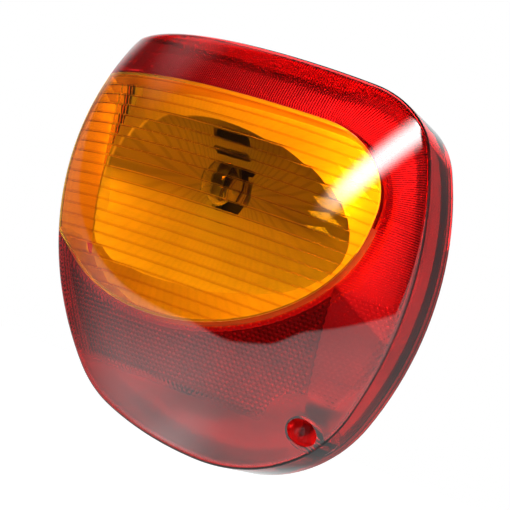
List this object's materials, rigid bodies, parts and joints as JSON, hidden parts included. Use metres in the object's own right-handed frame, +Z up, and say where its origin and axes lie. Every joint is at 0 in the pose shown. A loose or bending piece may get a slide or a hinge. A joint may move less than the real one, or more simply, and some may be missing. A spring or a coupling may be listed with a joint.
{
  "type": "tail light cluster",
  "caption": "Left rear tail light cluster: bowed red lens with a fluted amber indicator window, reflectors, bulbs and a clip-in bulb carrier, held by a screw and push-in pegs.",
  "frame": {"origin": "axis of the fixing screw where the lamp meets the body panel", "axes": "+Y along the fixing screw into the body, +Z up, +X towards the middle of the car"},
  "size_m": [0.2449, 0.131, 0.2373],
  "materials": {
    "red_lens_plastic": "clear red moulding, polished",
    "amber_lens_plastic": "clear amber moulding, polished, fluted inside",
    "reflex_plastic": "red reflex plate, pinned back",
    "housing_plastic": "grey, fine moulded grain",
    "carrier_plastic": "black, satin moulding",
    "metallised_plastic": "bright vacuum-metallised",
    "black_rubber": "dull foam and sealant",
    "strip_brass": "bare stamped strip",
    "sleeve_steel": "plated",
    "cap_brass": "drawn, slightly dull",
    "bulb_glass": "clear",
    "filament_wire": "drawn wire",
    "solder": "soft solder"
  },
  "bodies": {
    "root": {"red_lens": "red_lens_plastic", "amber_lens": "amber_lens_plastic", "reflex_plate": "reflex_plastic", "lens_seal": "black_rubber", "housing": "housing_plastic", "body_gasket": "black_rubber", "indicator_reflector": "metallised_plastic", "stop_reflector": "metallised_plastic", "bulb_carrier": "carrier_plastic", "carrier_seal": "black_rubber", "indicator_feed_strip": "strip_brass", "tail_feed_strip": "strip_brass", "stop_feed_strip": "strip_brass", "earth_strip": "strip_brass", "indicator_socket_sleeve": "sleeve_steel", "indicator_bulb_glass": "bulb_glass", "indicator_bulb_cap": "cap_brass", "indicator_bulb_filament": "filament_wire", "indicator_bulb_contact": "solder", "stop_socket_sleeve": "sleeve_steel", "stop_bulb_glass": "bulb_glass", "stop_bulb_cap": "cap_brass", "stop_bulb_filament": "filament_wire", "stop_bulb_contact": "solder"}
  },
  "joints": []
}
